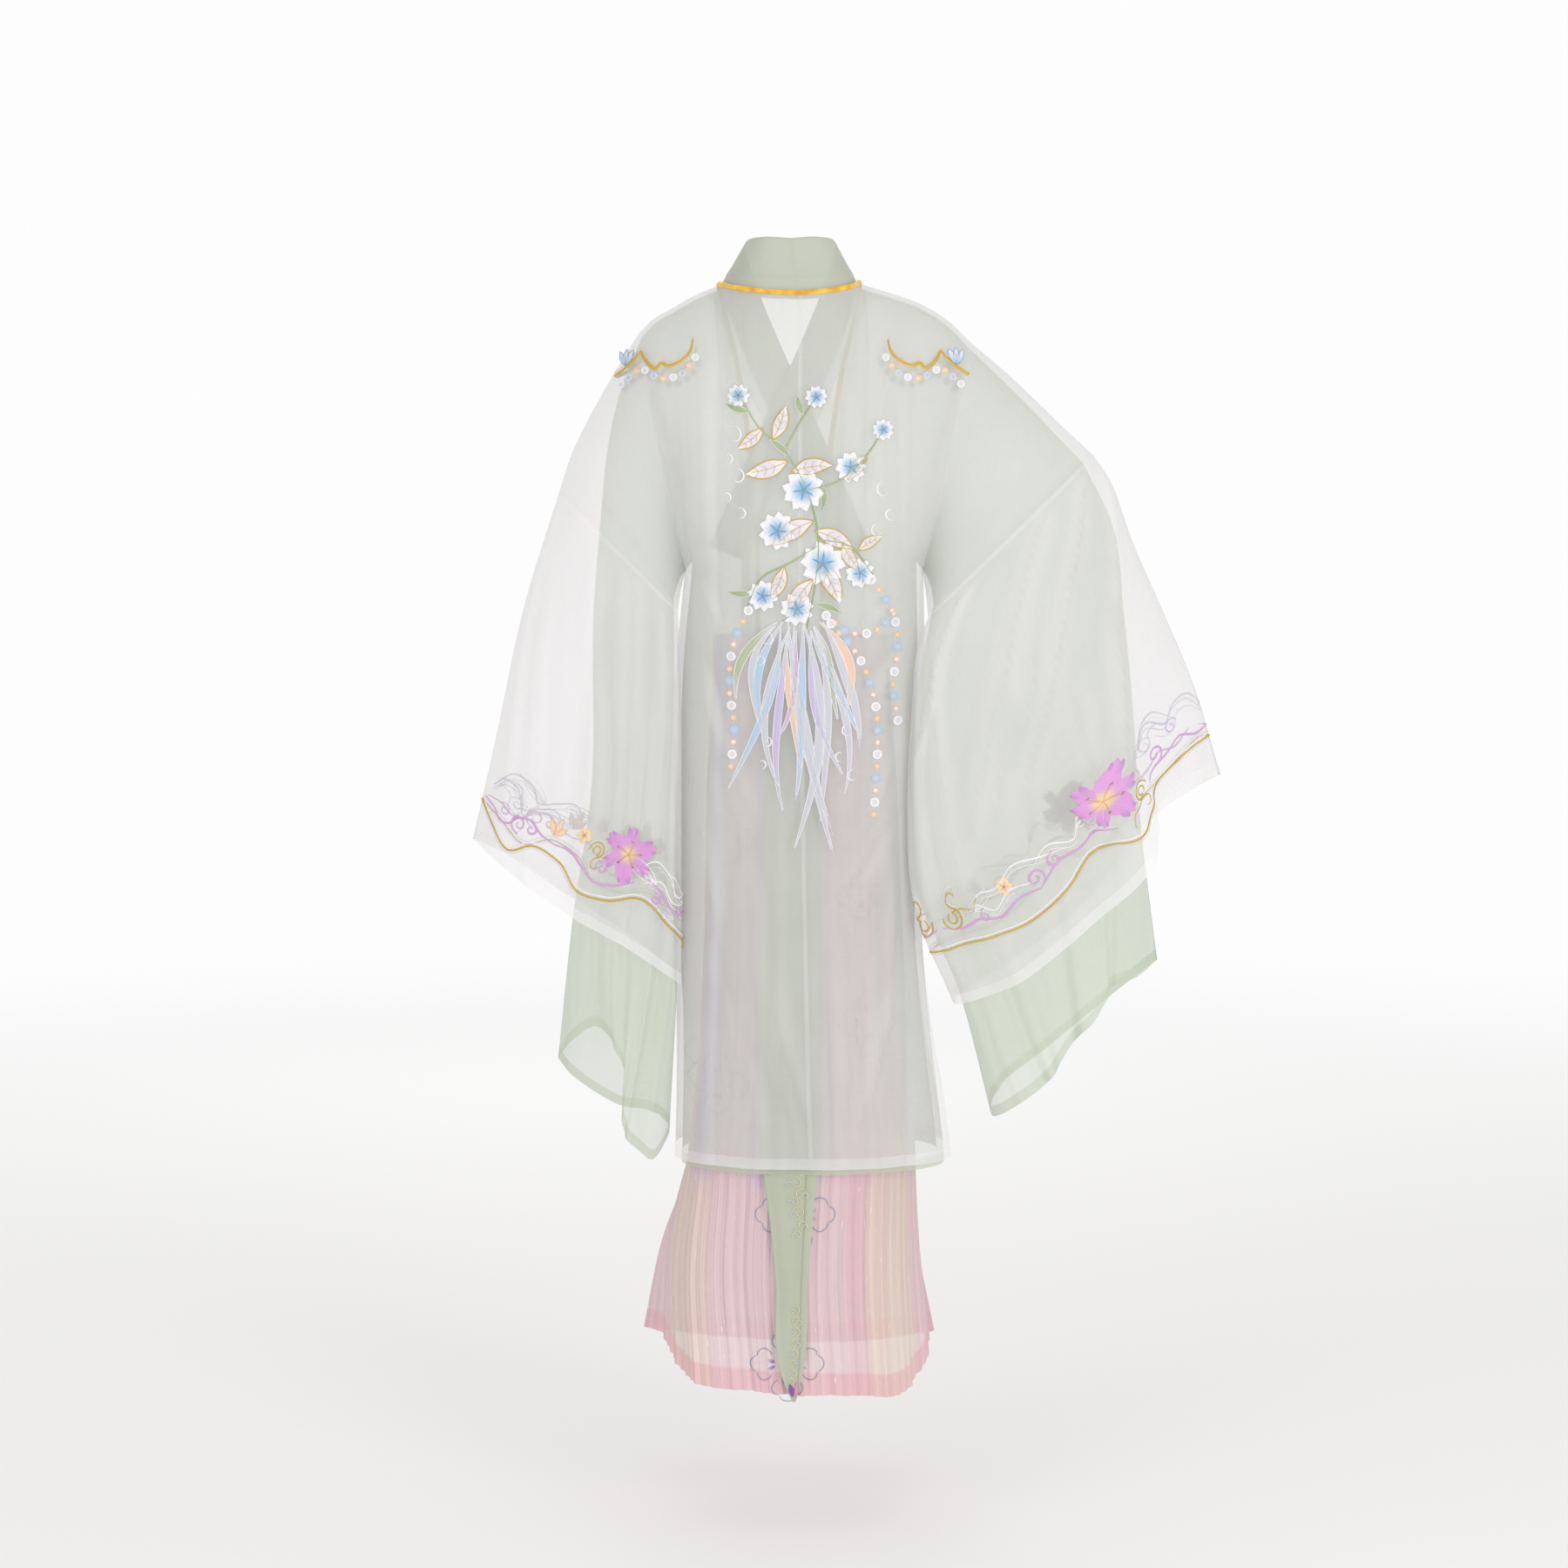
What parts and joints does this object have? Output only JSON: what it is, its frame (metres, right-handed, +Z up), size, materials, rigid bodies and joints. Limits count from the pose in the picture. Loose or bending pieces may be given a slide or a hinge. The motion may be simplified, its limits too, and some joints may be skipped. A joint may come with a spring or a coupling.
{
  "type": "hanfu robe set",
  "caption": "Worn hanfu set: a sheer white open-front robe with wide sleeves over a mint crossed-front robe, a crinkled pink skirt and a green sash tail.",
  "frame": {"origin": "the centre of the neck opening, level with the sides of the neck, where the wearer's shoulders hold the robes up", "axes": "+Z is up along the wearer's back, the front faces -Y and the wearer's left is +X"},
  "size_m": [0.9708, 0.331, 1.4591],
  "materials": {
    "white_chiffon": "matte sheer chiffon",
    "mint_chiffon": "matte sheer chiffon",
    "yellow_satin": "satin",
    "pink_gauze": "crinkled gauze with a faint silver glint",
    "green_sash": "matte"
  },
  "bodies": {
    "root": {"outer_body_left": "white_chiffon", "outer_body_right": "white_chiffon", "outer_sleeve_left": "white_chiffon", "outer_sleeve_right": "white_chiffon", "outer_neck_binding": "yellow_satin", "inner_collar": "mint_chiffon", "inner_body_left": "mint_chiffon", "inner_body_right": "mint_chiffon", "inner_sleeve_left": "mint_chiffon", "inner_sleeve_right": "mint_chiffon", "skirt_length_1": "pink_gauze", "skirt_length_2": "pink_gauze", "skirt_length_3": "pink_gauze", "skirt_length_4": "pink_gauze", "skirt_length_5": "pink_gauze", "skirt_length_6": "pink_gauze", "skirt_length_7": "pink_gauze", "skirt_length_8": "pink_gauze", "skirt_length_9": "pink_gauze", "skirt_length_10": "pink_gauze", "skirt_length_11": "pink_gauze", "skirt_length_12": "pink_gauze", "skirt_waistband": "pink_gauze", "sash_tail": "green_sash"}
  },
  "joints": []
}
